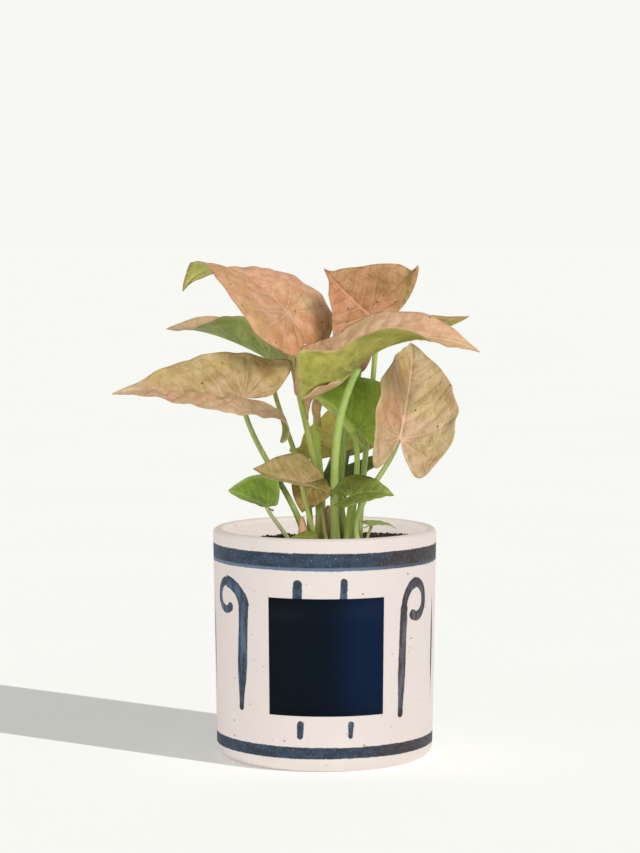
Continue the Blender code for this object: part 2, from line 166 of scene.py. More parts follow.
class Finish(Nodes):
    """A procedural material: one Principled shader and the nodes that feed it."""

    def __init__(self, name, constant):
        self.material = bpy.data.materials.new(name)
        super().__init__(self.material)
        self.shader = self.tree.nodes["Principled BSDF"]
        self.place = self.node('ShaderNodeTexCoord', {}, {}, "Object")
        for socket, value in constant.items():
            self.give(socket, value)

    def give(self, socket, value):
        """A value or link for one of the Principled shader's sockets."""
        self.plug(self.shader.inputs[socket], value)

    def mix(self, first, second, share, blend='MIX'):
        return self.node('ShaderNodeMix', {"data_type": 'RGBA', "blend_type": blend},
                         {0: share, 6: first, 7: second}, 2)

    def stretched(self, where, scale):
        return self.node('ShaderNodeMapping', {}, {"Vector": where, "Scale": scale})

    def split(self, where):
        return [self.node('ShaderNodeSeparateXYZ', {}, {"Vector": where}, axis) for axis in "XYZ"]

    def cloud(self, where, scale, detail=2.0, distortion=0.0):
        """Soft noise from 0 to 1, about 0.5."""
        return self.node('ShaderNodeTexNoise', {}, {
            "Vector": where, "Scale": scale, "Detail": detail, "Distortion": distortion})

    def cells(self, where, scale, feature='F1', output="Distance", axes='3D'):
        return self.node('ShaderNodeTexVoronoi', {"voronoi_dimensions": axes, "feature": feature},
                         {"Vector": where, "Scale": scale}, output)

    def specks(self, where, spacing, size, share, axes='3D'):
        """Round specks of about one size, in a share of the cells of a scattered grid."""
        near = self.cells(where, 1 / (spacing * MM), axes=axes)
        pick = self.split(self.cells(where, 1 / (spacing * MM), output="Color", axes=axes))[0]
        dot = near.fall(0.6 * size / spacing, size / spacing)
        return dot * pick.fall(share - 0.01, share + 0.01)

    def bump(self, height, depth, strength=1.0):
        """Relief of a depth in millimetres from a height between 0 and 1."""
        self.give("Normal", self.node('ShaderNodeBump', {}, {
            "Height": height, "Distance": depth * MM, "Strength": strength}, "Normal"))


def arc(centre, radius, start, end, steps):
    """Points of a circular arc in the profile plane, from one angle to another."""
    angles = np.radians(np.linspace(start, end, steps + 1))
    return [(centre[0] + radius * np.cos(a), centre[1] + radius * np.sin(a)) for a in angles]


def spun(profile, steps):
    """A bmesh of a profile of (radius, height) points spun round Z, its doubles merged."""
    bm = bmesh.new()
    points = [bm.verts.new((radius * MM, 0.0, height * MM)) for radius, height in profile]
    edges = [bm.edges.new(pair) for pair in zip(points, points[1:])]
    bmesh.ops.spin(bm, geom=points + edges, cent=(0, 0, 0), axis=(0, 0, 1), angle=2 * np.pi,
                   steps=steps, use_merge=True)
    bmesh.ops.remove_doubles(bm, verts=bm.verts, dist=0.001 * MM)
    bmesh.ops.recalc_face_normals(bm, faces=bm.faces)
    return bm


def placed(name, data):
    """A mesh, a lamp or the camera as an object of the scene."""
    made = bpy.data.objects.new(name, data)
    bpy.context.scene.collection.objects.link(made)
    return made


def piece(name, bm, finishes, nodes, smooth=True):
    """A bmesh as a piece of the plant, shaded smooth unless it is crumbly."""
    mesh = bpy.data.meshes.new(name)
    bm.to_mesh(mesh)
    bm.free()
    if smooth:
        mesh.shade_smooth()
    return dressed(mesh, finishes, nodes)


def dressed(mesh, finishes, nodes):
    """A mesh as a piece of the plant that stands for CAD nodes and rides with them."""
    for finish in finishes:
        mesh.materials.append(finish.material)
    made = placed(mesh.name, mesh)
    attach(made, "root")
    if nodes:
        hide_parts(*nodes)
    return made


def segment(place, height, foot, top):
    """Distance from a straight stroke between two (place, height) ends, and the share along it."""
    run, climb = top[0] - foot[0], top[1] - foot[1]
    share = ((place - foot[0]) * run + (height - foot[1]) * climb) / (run ** 2 + climb ** 2)
    share = share.most(0.0).least(1.0)
    beside = place - (share * run + foot[0])
    beyond = height - (share * climb + foot[1])
    return (beside * beside + beyond * beyond) ** 0.5, share


def crook(place, height, foot, stem_top, hook, reach, curl):
    """Distance from the stem of a crook, the share along it, and the way to shoulder and hook.

    The stem runs from foot to stem_top, a shoulder bends over from there to the top of the hook,
    and the hook is an ellipse about a centre, with half axes reach, turned through curl degrees.
    """
    stem, share = segment(place, height, foot, stem_top)
    hand = 1.0 if hook[0] > stem_top[0] else -1.0
    beside, above = (place - hook[0]) * -hand, height - hook[1]
    turned = (above / reach[1]).maths('ARCTAN2', beside / reach[0]) * DEGREES
    turned = turned + turned.rise(-0.01, 0.0, 360.0, 0.0)
    round_off = ((beside / reach[0]) ** 2 + (above / reach[1]) ** 2) ** 0.5
    shrink = ((turned - DRAW_IN_FROM) / (curl - DRAW_IN_FROM)).most(0.0).least(1.0) * DRAW_IN
    ring = abs(round_off - 1.0 + shrink) * (sum(reach) / 2)
    ring = ring + (turned.rise(curl - 0.1, curl + 0.1) + turned.fall(88.0, 90.0)) * UNPAINTED
    end_place = hook[0] - hand * reach[0] * (1 - DRAW_IN) * float(np.cos(np.radians(curl)))
    end_height = hook[1] + reach[1] * (1 - DRAW_IN) * float(np.sin(np.radians(curl)))
    end_off = ((place - end_place) ** 2 + (height - end_height) ** 2) ** 0.5
    wide = abs(stem_top[0] - hook[0])
    tall = hook[1] + reach[1] - stem_top[1]
    over = height - stem_top[1]
    square = 1.8
    bow = (abs(beside / wide) ** square + abs(over / tall) ** square) ** (1 / square)
    shoulder = abs(bow - 1.0) * ((wide + tall) / 2)
    shoulder = shoulder + (over.fall(-0.4, 0.0) + beside.fall(-0.4, 0.0)) * UNPAINTED
    return stem, share, shoulder, ring.least(end_off - 0.4)


def brushwork(finish, front, back, height):
    """Shares of the wall that are painted, and darker where a full brush touched first."""
    wobble = finish.cloud(finish.place, 45.0, 3.0) - 0.5
    rag = finish.cloud(finish.place, 420.0, 3.0) - 0.5

    def stroke(off, width):
        """Paint where off, in millimetres, is less than the brush's half width."""
        return (off - width + wobble * 1.1 + rag * 0.8).fall(-PAINT_EDGE, PAINT_EDGE)

    painted = dipped = 0.0
    for place, crooks, long_strokes in ((front, CROOKS, LONG_STROKES),
                                        (back, BACK_CROOKS, BACK_LONG_STROKES)):
        for foot, stem_top, hook, reach, curl, widths in crooks:
            stem, share, shoulder, ring = crook(place, height, foot, stem_top, hook, reach, curl)
            layer = stroke(stem, share.rise(0.0, 0.45, 2.0, widths[0]))
            layer = layer.most(stroke(shoulder, widths[0] - 0.1)).most(stroke(ring, widths[1]))
            painted = layer.most(painted)
            dipped = (share.fall(0.02, 0.07) * stem.fall(3.0, 4.0)).most(dipped)
        for foot, top, widths in STROKES:
            off, share = segment(place, height, foot, top)
            painted = painted.most(stroke(off, share * (widths[1] - widths[0]) + widths[0]))
        for at in long_strokes:
            taper = height.rise(*LONG_SWELL, 0.0, 1.9) * height.fall(*LONG_FADE)
            painted = painted.most(stroke(abs(place - at) + 0.35, taper))
    for low, high in BANDS:
        middle, half = (low + high) / 2, (high - low) / 2
        painted = painted.most(stroke(abs(height - middle), half + 0.15))
    return painted, dipped


def planter_finish():
    """Matte cream glaze with iron specks and brushed slate-blue ornament."""
    finish = Finish("glazed planter", {"Specular IOR Level": 0.2})
    x, y, z = finish.split(finish.place)
    height = z / MM
    turn = x.maths('ARCTAN2', -y) * DEGREES
    front = turn * (PAINT_RADIUS / DEGREES)
    back = x.maths('ARCTAN2', y) * PAINT_RADIUS
    outside = ((x * x + y * y) ** 0.5 / MM).rise(59.5, 60.5)
    painted, dipped = brushwork(finish, front, back, height)
    painted = painted * outside

    glaze = finish.mix("ebdfdb", "e7dad4", finish.cloud(finish.place, 14.0, 3.0))
    glaze = finish.mix(glaze, "efe7e3", finish.cloud(finish.place, 60.0).rise(0.5, 0.9) * 0.6)
    iron = finish.specks(finish.place, 9.0, 0.62, 0.5)
    iron = iron.most(finish.specks(finish.place, 5.2, 0.36, 0.42))
    glaze = finish.mix(glaze, "463a34", iron * 0.9)

    drag = finish.cloud(finish.stretched(finish.place, (1, 1, 2.2)), 130.0, 3.0)
    blue = finish.mix("2d3946", "394a5f", drag.rise(0.35, 0.7))
    charcoal = finish.mix("3b3637", "454248", drag.rise(0.35, 0.7))
    dark = turn.rise(14.0, 46.0) * turn.fall(125.0, 150.0)
    paint = finish.mix(blue, charcoal, dark)
    stems = height.rise(20.0, 30.0) * height.fall(100.0, 108.0)
    streak = finish.cloud(finish.stretched(finish.place, (1, 1, 0.2)), 260.0, 3.0)
    paler = finish.mix("5f7390", "6c6a74", dark)
    paint = finish.mix(paint, paler, stems * streak.rise(0.4, 0.65) * 0.75)
    fringe = height.fall(116.6, 117.2) * height.rise(112.0, 114.0)
    paint = finish.mix(paint, "6b7f9c", fringe * (0.85 - dark * 0.6))
    paint = finish.mix(paint, "29272b", dipped * 0.85)
    pinholes = finish.specks(finish.place, 2.0, 0.22, 0.5)
    paint = finish.mix(paint, "d4d7dc", pinholes * height.rise(100.0, 118.0, 0.3, 0.95))
    grain = finish.cloud(finish.place, 900.0, 4.0)
    paint = finish.mix(paint, "7d8798", grain.rise(0.52, 0.8) * 0.45)
    edge = (painted * (1.0 - painted) * 4.0).least(1.0)
    skin = finish.mix(glaze, paint, painted)
    finish.give("Base Color", finish.mix(skin, "3c4654", edge * 0.25))

    finish.give("Roughness", 0.52 + grain * 0.2 - painted * 0.05)
    relief = grain * 0.25 + finish.cloud(finish.place, 120.0) * 0.35 + painted * 0.3 - iron * 0.4
    finish.bump(relief, 0.25, 0.7)
    return finish


def label_finish():
    """Satin printed film in dark blue, with painted shade darkening it to near black towards its
    left.
    """
    finish = Finish("label film", {"Specular IOR Level": 0.05})
    x, y, z = finish.split(finish.place)
    turn = x.maths('ARCTAN2', -y) * DEGREES
    grain = finish.cloud(finish.place, 700.0, 2.0)
    # Painted shade: the dark blue film is darkened to near black towards its left.
    film_and_painted_shade = finish.mix("071017", "08121f", turn.rise(-26.0, 4.0))
    film_and_painted_shade = finish.mix(film_and_painted_shade, "0b1e3a", turn.rise(-2.0, 22.0))
    finish.give("Base Color", finish.mix(film_and_painted_shade, "121c2a", grain * 0.15))
    finish.give("Roughness", 0.42 + grain * 0.1)
    finish.bump(grain, 0.05, 0.3)
    return finish


def make_label():
    """The film as a thin rectangle wrapped round the front of the wall."""
    bm = bmesh.new()
    bmesh.ops.create_grid(bm, x_segments=48, y_segments=4, size=1.0)
    middle, half = (LABEL["low"] + LABEL["high"]) / 2, (LABEL["high"] - LABEL["low"]) / 2
    for vertex in bm.verts:
        turn = np.radians(LABEL["turn"] + LABEL["half_width"] * vertex.co.x)
        height = middle + half * vertex.co.y
        flare = (height - FOOT_ROUND) / (POT_HEIGHT - LIP_ROUND - FOOT_ROUND)
        wall = POT_RADIUS_FOOT + (POT_RADIUS_TOP - POT_RADIUS_FOOT) * flare + 0.04
        place = Vector((wall * np.sin(turn), -wall * np.cos(turn), height))
        vertex.co = place * MM
    bmesh.ops.recalc_face_normals(bm, faces=bm.faces)
    bm.normal_update()
    if sum(face.normal.y for face in bm.faces) > 0:
        bmesh.ops.reverse_faces(bm, faces=bm.faces)
    label = piece("label", bm, [label_finish()], [])
    film = label.modifiers.new("thickness", 'SOLIDIFY')
    film.thickness = 0.12 * MM
    film.offset = 1.0
    return label


inner_foot = POT_RADIUS_FOOT - POT_WALL
inner_top = POT_RADIUS_TOP - POT_WALL
lip = POT_HEIGHT - LIP_ROUND
pot_profile = [(0.0, POT_FLOOR)]
pot_profile += arc((inner_foot - FOOT_ROUND, POT_FLOOR + FOOT_ROUND), FOOT_ROUND, -90, 0, 8)
pot_profile += arc((inner_top + LIP_ROUND, lip), LIP_ROUND, 180, 90, 10)
pot_profile += arc((POT_RADIUS_TOP - LIP_ROUND, lip), LIP_ROUND, 90, 0, 10)
pot_profile += arc((POT_RADIUS_FOOT - FOOT_ROUND, FOOT_ROUND), FOOT_ROUND, 0, -90, 12)
pot_profile += [(0.0, 0.0)]
pot = piece("planter", spun(pot_profile, POT_FACETS), [planter_finish()], ["pot"])
label = make_label()

# ==== Soil =======================================================================================
# Dark, crumbly potting mix of peat and fine bark, filled to about 9 mm under the lip and pressed
# down round the stems. Loose crumbs and a few pale grains lie on it.

SOIL_LEVEL = 124.0
SOIL_REACH = 57.8
SOIL_SLOPE = 0.034
SOIL_RINGS = 44
LUMP, CRUMB = 11.0, 2.6
# The foot of the plug: its reach, its rounding, and its level at the edge and in the middle.
SOIL_FOOT, SOIL_FOOT_ROUND = 56.0, 7.5
SOIL_BED = (9.5, 8.6)
CRUMBS = 1500
CRUMB_REACH = 55.5
PALE_EVERY = 23


def soil_height(x, y):
    """Level of the soil's skin, in millimetres: a gentle fall, lumps and crumbs."""
    outward = min(1.0, max(0.0, (np.hypot(x, y) - 24.0) / 16.0))
    lumps = noise.noise(Vector((x / LUMP, y / LUMP, 1.7)))
    crumbs = noise.noise(Vector((x / CRUMB, y / CRUMB, 5.1)))
    level = SOIL_LEVEL - 0.8 + SOIL_SLOPE * x * outward
    return level + (0.4 + 0.5 * outward) * lumps + 0.75 * crumbs


def soil_finish(name, dark, light, share):
    finish = Finish(name, {"Specular IOR Level": 0.25})
    lumps = finish.cloud(finish.place, 350.0, 4.0)
    crumbs = finish.cells(finish.place, 700.0)
    tone = finish.mix(dark, light, (lumps * 1.4 - 0.3 + crumbs * 0.3) * share)
    grit = finish.specks(finish.place, 3.0, 0.5, 0.16)
    finish.give("Base Color", finish.mix(tone, "8a765c", grit * 0.7))
    finish.give("Roughness", 0.85 + lumps * 0.12)
    finish.bump(lumps + crumbs * 0.6, 0.6, 0.9)
    return finish


def make_soil():
    """The plug of soil: a lumpy skin over a plain foot that fills the planter."""
    profile = [(SOIL_REACH * step / SOIL_RINGS, SOIL_LEVEL) for step in range(SOIL_RINGS + 1)]
    round_at = (SOIL_FOOT - SOIL_FOOT_ROUND, SOIL_BED[0] + SOIL_FOOT_ROUND)
    profile += arc(round_at, SOIL_FOOT_ROUND, 0, -90, 4)
    profile += [(0.0, SOIL_BED[1])]
    bm = spun(profile, 160)
    for vertex in bm.verts:
        x, y, z = vertex.co / MM
        if z > SOIL_LEVEL - 1.0:
            vertex.co.z = soil_height(x, y) * MM
    mix = soil_finish("peat and bark", "120d09", "3b2a1c", 0.8)
    piece("potting_soil", bm, [mix], ["soil"])


def make_crumbs():
    """Loose crumbs of bark and peat, and a few pale grains, lying on the soil."""
    chance = random.Random(11)
    bm = bmesh.new()
    for index in range(CRUMBS):
        reach = CRUMB_REACH * chance.random() ** 0.5
        heading = chance.uniform(0.0, 2 * np.pi)
        x, y = reach * np.cos(heading), reach * np.sin(heading)
        size = chance.uniform(0.35, 1.15)
        made = bmesh.ops.create_icosphere(bm, subdivisions=1, radius=size * MM)["verts"]
        bmesh.ops.scale(bm, verts=made, vec=[chance.uniform(0.6, 1.5), chance.uniform(0.5, 1.1),
                                             chance.uniform(0.4, 0.8)])
        turn = Euler([chance.uniform(0, 6.28) for axis in range(3)]).to_matrix()
        bmesh.ops.rotate(bm, verts=made, matrix=turn)
        level = soil_height(x, y) + 0.25 * size
        bmesh.ops.translate(bm, verts=made, vec=Vector((x, y, level)) * MM)
        if index % PALE_EVERY == 0:
            for face in {face for vertex in made for face in vertex.link_faces}:
                face.material_index = 1
    bark = soil_finish("bark crumbs", "1a120c", "5a4330", 0.9)
    perlite = soil_finish("pale grains", "a08c70", "d8ccb4", 0.7)
    piece("soil_crumbs", bm, [bark, perlite], [], smooth=False)


make_soil()
make_crumbs()

# ==== Upper storey of leaves =====================================================================
# Six large arrow-shaped blades held out round the pot. Each is a thin, slightly leathery sheet
# with a midrib, curved side veins sunk into its face, and a softly waved margin. The young ones
# are salmon pink and turn green as they age.

# Thickness of a blade; its grid, as columns and as rows for each half; and the length that calls
# for the large grid. Then the steps in which midrib and lobes bend, and the fan of veins behind.
BLADE = 0.42
LARGE_BLADE, SMALL_BLADE = (92, 26), (48, 14)
LARGE_LENGTH = 32.0
RIB_STEPS = 60
LOBE_STEPS, LOBE_END = 65, 1.3
VEIN_FAN = np.radians(24.0)

# What a leaf is where its own row doesn't say.
USUAL = dict(acumen=0.15, shoulder=0.1, sinus=0.42, tip_droop=0, sweep=0, twist=0, tuck=(0, 0),
             wave=1.0, relief=0.7)


def arrowhead(name, at, length, width, lobe, spread, turned, fold, curl, droop, **rest):
    """Shape and stance of one leaf; what a leaf leaves out is as on most.

    at is where blade and stalk join, and turned is the blade's heading, the rise of its midrib
    and its roll. Pairs are for the left and the right half of the blade, looking along its
    midrib from the stalk. acumen, shoulder and sinus shape its tip, its lobes' shoulders and its
    notch; tuck bends a lobe's tip down, wave is how much the margin waves, and relief how far
    the face swells between the veins. root is where the stalk leaves the soil, stalk its radius
    there and under the blade, and leave and arrive lean its two ends.
    """
    return dict(USUAL, name=name, at=at, length=length, width=width, lobe=lobe, spread=spread,
                turned=turned, fold=fold, curl=curl, droop=droop, **rest)


UPPER_LEAVES = [
    arrowhead("top_left", (-22, -2, 258), 92, (40, 41), (27, 29), (14, 18), (161, 51, -22),
        (10, 5), (-3, -20), 81, tip_droop=27, lobe_droop=(12, 41), sweep=-13, twist=25,
        shoulder=0.28, sinus=0.04, wave=0.9, relief=1.1, root=(-4, -8), stalk=(2.0, 1.6),
        leave=(5, 1), arrive=(2, 3)),
    arrowhead("top_right", (26, 12, 256), 44, (33, 37), (16, 21), (30, 37), (193, 40, -75),
        (9, 24), (-3, 23), -34, tip_droop=-11, lobe_droop=(-3, -34), sweep=6, twist=18, acumen=0.1,
        shoulder=0.15, sinus=0.2, wave=1.5, relief=1.0, root=(12, 6), stalk=(2.3, 1.9),
        leave=(-10, 2), arrive=(-6, 6)),
    arrowhead("front_right", (18, -52, 229), 77, (34, 41), (36, 36), (25, 30), (-1, 45, 19),
        (19, 17), (0, 42), 83, tip_droop=-9, lobe_droop=(6, -8), sweep=-3, twist=54, acumen=0.12,
        shoulder=0.52, sinus=0.95, wave=0.8, relief=0.8, root=(6, -9), stalk=(2.5, 2.0),
        leave=(0, -9), arrive=(-16, 18)),
    arrowhead("back_left", (-33, 50, 228), 77, (34, 34), (21, 21), (15, 15), (145, 25, 15),
        (26, 24), (8, -3), 20, tip_droop=14, lobe_droop=(9, 10), sweep=3, twist=-68, shoulder=0.15,
        root=(-9, 6), stalk=(1.7, 1.3), leave=(4, 9), arrive=(3, -15)),
    arrowhead("back_right", (30, 46, 234), 72, (25, 25), (20, 20), (14, 14), (26, 14, 3), (42, 38),
        (5, 5), 3, tip_droop=-13, lobe_droop=(10, 10), sweep=14, twist=8, acumen=0.23,
        root=(20, 9), stalk=(1.8, 1.5), leave=(2, 0), arrive=(-3, -20)),
    arrowhead("left", (-47, -30, 210), 75, (32, 32), (24, 30), (23, 27), (190, 7, -28), (18, 23),
        (-7, 3), 5, tip_droop=-5, lobe_droop=(12, -4), sweep=10, acumen=0.18, shoulder=0.0,
        sinus=0.2, tuck=(125, 0), wave=1.2, relief=1.7, root=(-11, -6), stalk=(1.8, 1.4),
        leave=(-6, -6), arrive=(4, 8))]

# Colours of each blade in the order of SHADES, heart being the face round the stalk and fleck its
# mottling; two are for the left and the right half. Then come the blade's patches, each
# millimetres ahead and to the left of the stalk, with a size and a colour; some of these
# patches are painted shade or painted light.
SHADES = ("face", "tip", "lobe", "heart", "rim", "under", "vein", "fleck")
UPPER_LOOKS = dict(
    top_left=(("caa27e", "dbaf8f"), "d4aa87", ("c39069", "d39863"), "c6957a", "c89d79", "e4dc84",
        # In top_left the two brown patches at the right lobe are painted shade, and the pale one
        # after them is painted light.
        "e8bca2", "b3885b", (-7, -33, 6, "b88034"), (-17, -27, 6, "b88034"),
        (-2, -23, 6, "ffe2b4"), (34, 18, 12, "c79a68"), (22, -20, 11, "dca98a")),
    top_right=(("c19375", "bb9c71"), "c69f80", ("b58a67", "be9c6b"), "ae7858", "b99472",
        ("a08a54", "9c8a50"), "dca58c", "9f784f", (0, -38, 4, "7d9038"), (-5, -34, 4, "7d9038"),
        (-12, -30, 4, "7d9038"), (-15, -24, 3, "7d9038"), (-16, -18, 3, "8a9040"),
        (-1, -31, 2, "cf977a"), (-8, -26, 2, "cf977a"), (9, -22, 8, "a98c5a"),
        (20, -14, 7, "a57a4c"), (26, 10, 9, "cd8f6e"), (4, -17, 2, "7c5c36"),
        (8, -21, 2, "80603a")),
    front_right=(("ccae8d", "d0b48b"), "cbae8d", ("c19e7a", "ad9a6c"), "cdaf8d", "c3a17e",
        "afa752", "e6c0a6", "bc9873", (-22, -30, 6, "a8774c")),
    back_left=(("dab89b", "d5b193"), "dbba99", ("bda680", "a89d68"), "cbab8c", "c9ab8c", "9ba256",
        "eed5bb", "b6a275"),
    back_right=("b89673", "be9d75", "ad9560", "af9d65", "b7976d", "b5a852", "d1af89", "a49058"),
    left=(("cdb094", "bda986"), "c8af9a", ("c6ae8c", "b5a370"), "b4997c", "bfaa86",
        ("8a8c46", "7c8038"), "dab698", "a69263", (44, -16, 13, "b4a062"), (14, -24, 10, "b5a36a"),
        (-14, -18, 9, "9a8a50"), (30, 12, 12, "cfa582"), (14, -13, 4, "a08856"),
        (21, -9, 4, "a68e5c"), (5, -7, 4, "a28656")))


def through(points, share):
    """Catmull-Rom curve through control points, read at shares 0..1 of its length in points."""
    points = np.asarray(points, float)
    last = len(points) - 1
    ends = np.vstack([2 * points[0] - points[1], points, 2 * points[-1] - points[-2]])
    place = np.clip(share, 0.0, 1.0) * last
    step = np.minimum(place.astype(int), last - 1)
    t = (place - step)[:, None]
    a, b, c, d = ends[step], ends[step + 1], ends[step + 2], ends[step + 3]
    return 0.5 * (2 * b + (c - a) * t + (2 * a - 5 * b + 4 * c - d) * t ** 2
                  + (3 * b - a - 3 * c + d) * t ** 3)


def margin(leaf, side, share):
    """Half outline of a flat arrowhead, from the tip (share 0) round its lobe to the notch (1)."""
    length = leaf["length"]
    width = leaf["width"][side]
    lobe = leaf["lobe"][side]
    spread = leaf["spread"][side]
    acumen, shoulder, sinus = leaf["acumen"], leaf["shoulder"], leaf["sinus"]
    return through([
        (length, 0.0),
        (0.84 * length, acumen * width),
        (0.58 * length, (acumen + 0.37) * width),
        (0.28 * length, 0.88 * width),
        (0.02 * length, width),
        (-0.50 * lobe, (0.50 + shoulder) * width + 0.50 * spread),
        (-lobe, spread),
        (-0.62 * lobe, sinus * spread),
        (-0.12 * lobe, 0.16 * sinus * spread)], share)


def flat_blade(leaf, along, across):
    """Flat blade: along is 0 at the tip and 1 at the notch, across is -1..1 between margins."""
    left, right = margin(leaf, 0, along), margin(leaf, 1, along)
    edge = np.where((across >= 0)[:, None], left, right)
    rib = np.maximum(0.0, 1.0 - 2.0 * along) * leaf["length"]
    x = rib + (edge[:, 0] - rib) * np.abs(across)
    y = np.maximum(edge[:, 1], 0.0) * across
    return x, y, np.hypot(edge[:, 0] - x, edge[:, 1] - np.abs(y))


def bend_midrib(leaf, x, y):
    """Place and frame of the midrib under each point: droop, tip droop, sweep and lobe droop."""
    steps = np.linspace(0.0, 1.0, RIB_STEPS + 1)
    middle = (steps[1:] + steps[:-1]) / 2
    droop, tip_droop, sweep = (np.radians(leaf[key]) for key in ("droop", "tip_droop", "sweep"))
    pitch = -(droop * middle + tip_droop * middle ** 4)
    yaw = sweep * middle
    run = np.stack([np.cos(pitch) * np.cos(yaw), np.cos(pitch) * np.sin(yaw), np.sin(pitch)], -1)
    rib = np.vstack([np.zeros(3), np.cumsum(run * leaf["length"] / RIB_STEPS, axis=0)])
    ahead = np.clip(x / leaf["length"], 0.0, 1.0)
    forward = np.stack([np.interp(ahead, steps, rib[:, k]) for k in range(3)], -1)

    lobe = leaf["lobe"][0]
    back = np.clip(-x / lobe, 0.0, LOBE_END)
    steps = np.linspace(0.0, LOBE_END, LOBE_STEPS + 1)
    middle = (steps[1:] + steps[:-1]) / 2
    backward, dip = np.zeros((len(x), 3)), np.zeros(len(x))
    for side, half in enumerate((y >= 0, y < 0)):
        hang, tuck = np.radians(leaf["lobe_droop"][side]), np.radians(leaf["tuck"][side])
        bend = hang * middle + tuck * np.clip((middle - 0.55) / 0.45, 0, 1.6) ** 1.5
        run = np.stack([np.cos(bend), np.sin(bend)], -1) * lobe * LOBE_END / LOBE_STEPS
        down = np.vstack([np.zeros(2), np.cumsum(run, axis=0)])
        backward[half, 0] = -np.interp(back[half], steps, down[:, 0])
        backward[half, 2] = -np.interp(back[half], steps, down[:, 1])
        dip[half] = np.interp(back[half], middle, bend)
    place = np.where((x >= 0)[:, None], forward, backward)
    pitch = np.where(x >= 0, -(droop * ahead + tip_droop * ahead ** 4), dip)
    return place, pitch, sweep * ahead, np.radians(leaf["twist"]) * ahead ** 2


def shape_blade(leaf, x, y):
    """Bend a flat blade: fold and curl each half, then carry it along the bent midrib."""
    place, pitch, yaw, twist = bend_midrib(leaf, x, y)
    along = np.stack([np.cos(pitch) * np.cos(yaw), np.cos(pitch) * np.sin(yaw), np.sin(pitch)], -1)
    side = np.stack([-np.sin(yaw), np.cos(yaw), 0 * yaw], -1)
    up = np.cross(along, side)
    turn, lift = np.cos(twist)[:, None], np.sin(twist)[:, None]
    side, up = side * turn + up * lift, up * turn - side * lift

    width = leaf["width"][0]
    fold = np.where(y >= 0, *(np.radians(angle) for angle in leaf["fold"]))
    curl = np.where(y >= 0, *(np.radians(angle + 0.01) for angle in leaf["curl"]))
    radius = width / curl
    end = fold + curl * np.abs(y) / width
    out = np.sign(y) * radius * (np.sin(end) - np.sin(fold))
    rise = radius * (np.cos(fold) - np.cos(end))
    return place + side * out[:, None] + up * rise[:, None]


def attitude(leaf):
    """Rotation of a leaf: heading about Z, rise of the midrib, and roll about the midrib."""
    heading, rise, roll = np.radians(leaf["turned"])
    return np.array(Euler([roll, -rise, heading]).to_matrix())


def side_veins(leaf, x, y):
    """Number of the side vein at each point, whole on a vein, and the millimetres to the next."""
    off, width, length = np.abs(y), max(leaf["width"]), leaf["length"]
    spacing = 2.4 + 0.115 * length
    lean = 0.55 + 0.35 * off / width
    ahead = x - lean * off
    behind = (np.arctan2(1.0, lean) - np.arctan2(off, x)) / VEIN_FAN
    wander = 0.10 * np.sin(0.13 * x + 0.9 * np.sign(y) + length) * np.minimum(1.0, off / 6.0)
    phase = np.where(ahead > 0, ahead / spacing, behind) + wander
    fanned = np.clip(np.hypot(x, y) * VEIN_FAN, 0.8, spacing * 1.3)
    return phase, np.where(ahead > 0, spacing, fanned)


def uneven(x, y, size, seed):
    """Smooth unevenness, -1 to 1, with lumps of a size in millimetres."""
    return np.array([noise.noise(Vector((a / size, b / size, seed))) for a, b in zip(x, y)])


def relief(leaf, x, y, rim):
    """Rise of the blade's face: swells between the veins, a grooved midrib and a waved margin."""
    phase, gap = side_veins(leaf, x, y)
    size = min(1.0, leaf["length"] / 70.0)
    seed = leaf["length"] + leaf["turned"][0] / 10
    inland = np.clip(np.minimum(np.abs(y) / (4.0 * size), rim / (10.0 * size)), 0.0, 1.0)
    swell = np.abs(np.sin(np.pi * phase)) ** 0.75 * inland * np.clip(gap / 6.0, 0, 1)
    groove = -0.5 * np.exp(-(y / 1.3) ** 2) * (x > 0)
    broad = 0.9 * uneven(x, y, 17.0 * size, seed) + 0.35 * uneven(x, y, 6.0 * size, seed + 9)
    wave = 2.4 * leaf["wave"] * uneven(x, 3 * np.sign(y), 11.0 * size, seed + 4)
    wave = wave * np.exp(-(rim / (5.5 * size)) ** 2)
    rise = leaf["relief"] * (1.25 * swell + groove + broad * np.clip(np.abs(y) / 5.0, 0, 1))
    return size * (rise + wave * np.clip(np.abs(y) / (8.0 * size), 0, 1))


def blend(first, second, share):
    share = np.clip(np.reshape(share, (-1, 1)), 0.0, 1.0)
    return first * (1 - share) + second * share


def painted_blade(leaf, look, x, y, rim):
    """Colours of a blade's face, its mottling, its veins and its underside, at every vertex."""
    tone = {shade: np.array([colour(code) for code in np.atleast_1d(codes)])[[0, -1]]
            for shade, codes in zip(SHADES, look)}
    patches = look[len(SHADES):]
    half = np.clip(0.5 + y / 4.0, 0.0, 1.0)
    ahead = x / leaf["length"]
    behind = -x / max(leaf["lobe"])
    whole, lobe, under = (blend(tone[shade][1], tone[shade][0], half)
                          for shade in ("face", "lobe", "under"))
    face = blend(whole, tone["tip"][0], (ahead - 0.5) / 0.45)
    face = blend(face, lobe, (behind + 0.1) / 0.8)
    near = np.exp(-((x - 4.0) ** 2 + y ** 2) / (0.38 * max(leaf["width"])) ** 2)
    face = blend(face, tone["heart"][0], 0.8 * near)
    face = blend(face, tone["rim"][0], 0.75 * np.exp(-(rim / 2.6) ** 2))
    # Some of these patches are painted shade or painted light.
    for at_x, at_y, size, code in patches:
        near = np.exp(-((x - at_x) ** 2 + (y - at_y) ** 2) / size ** 2)
        face = blend(face, np.array(colour(code)), 0.8 * near)
    under = blend(under, tone["rim"][0], 0.6 * np.exp(-(rim / 1.7) ** 2))
    vein = blend(tone["vein"][0], face, 0.35)
    fleck = np.tile(tone["fleck"][0], (len(x), 1))
    return dict(face=face, under=under, vein=vein, fleck=fleck)


def put(bm, points):
    """Move the vertices of a bmesh to points in millimetres."""
    for vertex, point in zip(bm.verts, points):
        vertex.co = Vector(point) * MM


